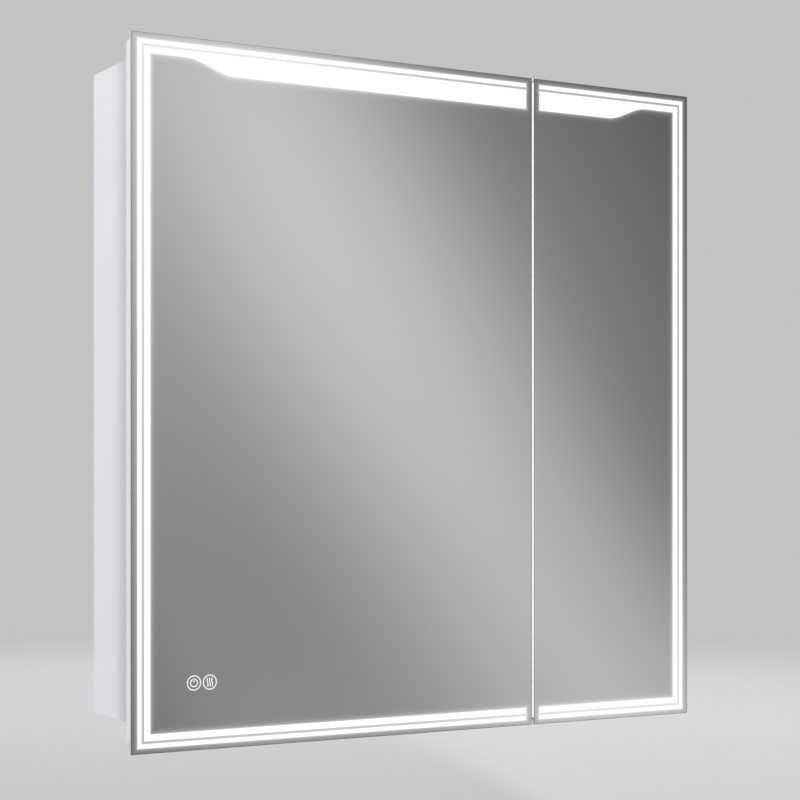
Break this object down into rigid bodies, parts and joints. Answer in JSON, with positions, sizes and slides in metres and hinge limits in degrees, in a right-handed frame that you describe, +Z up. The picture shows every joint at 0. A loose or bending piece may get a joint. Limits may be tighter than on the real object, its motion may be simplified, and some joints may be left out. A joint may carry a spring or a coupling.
{
  "type": "medicine cabinet",
  "caption": "Wall-hung mirrored medicine cabinet: a wide and a narrow lit mirror door on concealed hinges over glass shelves.",
  "frame": {"origin": "centre of the cabinet body's back face, which lies against the wall", "axes": "+Z up, +Y into the wall, the doors face -Y"},
  "size_m": [0.762, 0.133, 0.794],
  "materials": {
    "white_lacquer": "satin white lacquer on fibreboard",
    "white_board": "white melamine face",
    "zinc_plate": "bright zinc plate",
    "dowel_wood": "plain beech",
    "shelf_glass": "clear, polished edges",
    "nickel": "nickel-plated zinc casting",
    "white_plastic": "fine satin grain",
    "driver_case": "moulded, matte",
    "terminal_plastic": "moulded nylon",
    "dark_rubber": "moulded, matte",
    "lead_jacket": "extruded jacket",
    "mirror_glass": "polished silvered glass",
    "lit_strip": "etched, lit from behind",
    "light_guide": "clear acrylic with etched dots",
    "reflector_film": "matte white film",
    "led_board": "flexible circuit strip",
    "heater_film": "printed heating film",
    "sensor_case": "moulded, matte",
    "white_frame": "satin white powder coat",
    "white_moulding": "satin white moulding",
    "clear_rubber": "soft translucent dots"
  },
  "bodies": {
    "cabinet": {"left_side_panel": "white_lacquer", "right_side_panel": "white_lacquer", "top_panel": "white_lacquer", "bottom_panel": "white_lacquer", "divider_panel": "white_lacquer", "back_panel": "white_board", "upper_batten": "white_board", "lower_batten": "white_board", "mount_washers": "zinc_plate", "back_screws": "zinc_plate", "panel_dowels": "dowel_wood", "cam_locks": "zinc_plate", "cam_bolts": "zinc_plate", "left_shelves": "shelf_glass", "right_shelves": "shelf_glass", "shelf_pins": "nickel", "hinge_plates": "nickel", "plate_screws": "zinc_plate", "hinge_arms": "nickel", "arm_screws": "zinc_plate", "hinge_pins": "nickel", "driver_cover": "white_plastic", "housing_screws": "zinc_plate", "led_driver": "driver_case", "terminal_block": "terminal_plastic", "cable_grommet": "dark_rubber", "cable_trunking": "white_plastic", "supply_leads": "lead_jacket", "lead_glands": "dark_rubber"},
    "left_door": {"left_mirror": "mirror_glass", "left_outer_strip": "lit_strip", "left_inner_strip": "lit_strip", "touch_icons": "lit_strip", "left_light_guide": "light_guide", "left_reflector": "reflector_film", "left_led_strips": "led_board", "demister_pad": "heater_film", "touch_sensor": "sensor_case", "left_frame_stiles": "white_frame", "left_frame_rails": "white_frame", "left_frame_corners": "white_moulding", "left_back_cover": "white_plastic", "left_door_screws": "zinc_plate", "left_hinge_cups": "nickel", "left_bumpers": "clear_rubber"},
    "right_door": {"right_mirror": "mirror_glass", "right_outer_strip": "lit_strip", "right_inner_strip": "lit_strip", "right_light_guide": "light_guide", "right_reflector": "reflector_film", "right_led_strips": "led_board", "right_frame_stiles": "white_frame", "right_frame_rails": "white_frame", "right_frame_corners": "white_moulding", "right_back_cover": "white_plastic", "right_door_screws": "zinc_plate", "right_hinge_cups": "nickel", "right_bumpers": "clear_rubber"}
  },
  "joints": [
    {"name": "left_door_hinge", "type": "hinge", "parent": "cabinet", "child": "left_door", "pos_m": [-0.3705, -0.12, 0], "axis": [0, 0, -1], "range_deg": [0, 95]},
    {"name": "right_door_hinge", "type": "hinge", "parent": "cabinet", "child": "right_door", "pos_m": [0.3705, -0.12, 0], "axis": [0, 0, 1], "range_deg": [0, 95]}
  ]
}
